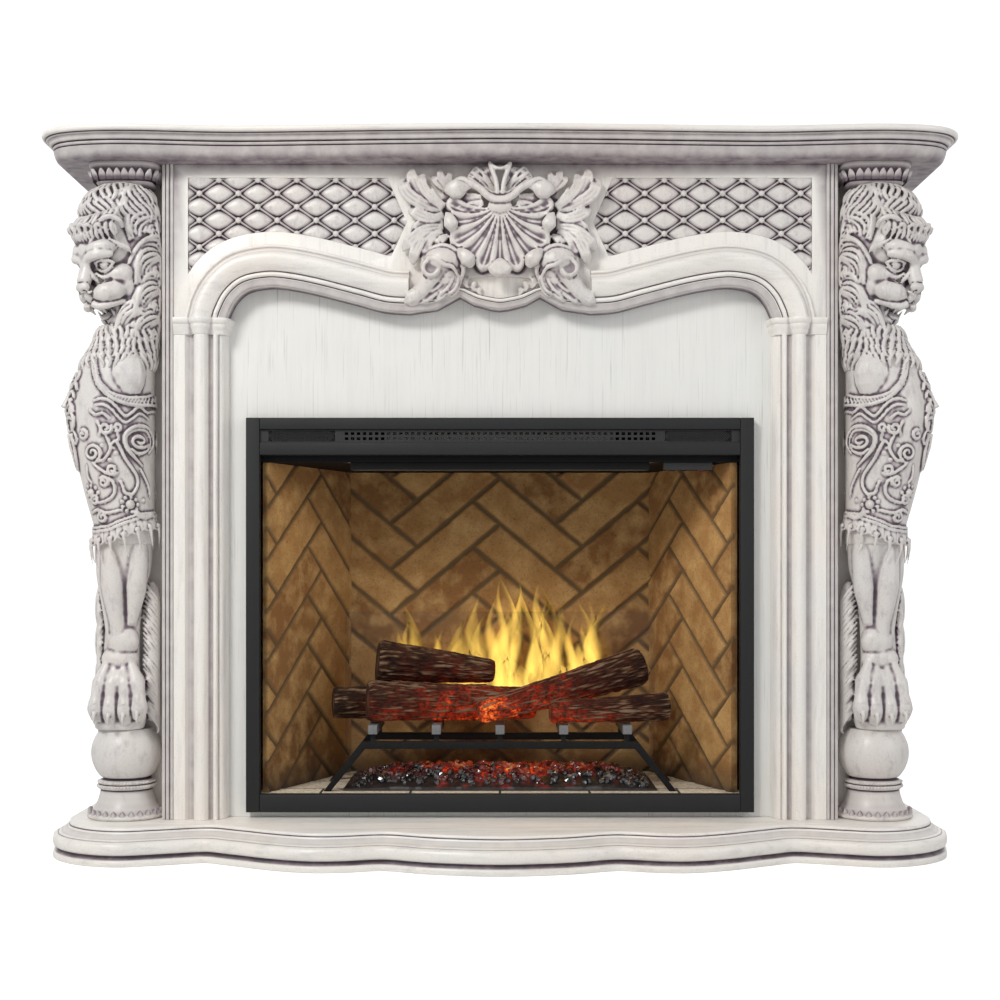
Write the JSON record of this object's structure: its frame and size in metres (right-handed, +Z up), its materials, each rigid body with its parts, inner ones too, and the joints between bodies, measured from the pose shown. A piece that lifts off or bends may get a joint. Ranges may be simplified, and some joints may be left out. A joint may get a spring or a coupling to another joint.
{
  "type": "electric fireplace suite",
  "caption": "Serpentine mantelpiece with lion columns, a shell cartouche and an arched header round an electric firebox with logs and embers.",
  "frame": {"origin": "on the floor, under the middle of the suite's width and depth", "axes": "+X to the viewer's right along the mantel, +Y towards the wall, +Z up"},
  "size_m": [1.514, 0.533, 1.187],
  "materials": {
    "antique_white": "satin antique white with grey patina",
    "carved_resin": "cast resin, antique white with mauve-grey patina",
    "raw_board": "raw",
    "trim_black": "satin charcoal",
    "casing_steel": "galvanised",
    "brick_clay": "matte, herringbone brick relief",
    "hearth_clay": "matte",
    "hood_black": "matte",
    "motor_black": "matte",
    "bright_metal": "bright",
    "circuit_green": "satin",
    "clear_acrylic": "clear, etched",
    "ember_resin": "translucent, lit from below",
    "grate_iron": "matte",
    "log_resin": "bark texture",
    "lamp_bar": "matte",
    "control_plastic": "matte"
  },
  "bodies": {
    "suite": {"plinth": "antique_white", "shelf": "antique_white", "carcass_side_left": "antique_white", "carcass_side_right": "antique_white", "back_rail": "raw_board", "firebox_deck": "raw_board", "header_board": "antique_white", "arch_moulding_left": "antique_white", "arch_moulding_right": "antique_white", "pilaster_left": "antique_white", "pilaster_right": "antique_white", "pilaster_cap_left": "antique_white", "pilaster_cap_right": "antique_white", "veneer_panel": "antique_white", "lattice_left": "antique_white", "lattice_right": "antique_white", "shell_cartouche": "carved_resin", "lion_left": "carved_resin", "lion_right": "carved_resin", "ball_pedestal_left": "carved_resin", "ball_pedestal_right": "carved_resin", "trim_stile_left": "trim_black", "trim_stile_right": "trim_black", "trim_rail_top": "trim_black", "trim_rail_bottom": "trim_black", "vent_rail": "trim_black", "vent_grille": "trim_black", "casing_base": "casing_steel", "casing_side_left": "casing_steel", "casing_side_right": "casing_steel", "casing_top": "casing_steel", "casing_back": "casing_steel", "brick_back": "brick_clay", "brick_left": "brick_clay", "brick_right": "brick_clay", "hood": "hood_black", "hearth_floor": "hearth_clay", "heater_housing": "casing_steel", "blower_motor": "motor_black", "heating_element": "bright_metal", "rotor_cradle": "casing_steel", "flicker_motor": "motor_black", "led_board": "circuit_green", "flame_screen": "clear_acrylic", "ember_bed": "ember_resin", "grate": "grate_iron", "log_front": "log_resin", "log_left": "log_resin", "log_back": "log_resin", "log_crossing": "log_resin", "log_right": "log_resin", "downlight_strip": "lamp_bar", "control_panel": "hood_black", "control_board": "motor_black", "cable_gland": "motor_black"},
    "blower": {"blower_wheel": "bright_metal"},
    "flicker": {"flicker_rotor": "bright_metal"},
    "rocker": {"power_rocker": "control_plastic"},
    "heat_key": {"heat_button": "control_plastic"},
    "flame_key": {"flame_button": "control_plastic"}
  },
  "joints": [
    {"name": "blower_spin", "type": "hinge", "parent": "suite", "child": "blower", "pos_m": [0, 0.0283, 0.68275], "axis": [1, 0, 0], "continuous": true},
    {"name": "flicker_spin", "type": "hinge", "parent": "suite", "child": "flicker", "pos_m": [0, 0.0915, 0.0986], "axis": [1, 0, 0], "continuous": true},
    {"name": "power_tilt", "type": "hinge", "parent": "suite", "child": "rocker", "pos_m": [0.337, -0.0362, 0.6417], "axis": [1, 0, 0], "range_deg": [-12.5, 0]},
    {"name": "heat_press", "type": "slide", "parent": "suite", "child": "heat_key", "axis": [0, 0, 1], "range_m": [0, 0.0015], "stiffness_N_per_m": 300, "springref_m": -0.0005},
    {"name": "flame_press", "type": "slide", "parent": "suite", "child": "flame_key", "axis": [0, 0, 1], "range_m": [0, 0.0015], "stiffness_N_per_m": 300, "springref_m": -0.0005}
  ]
}
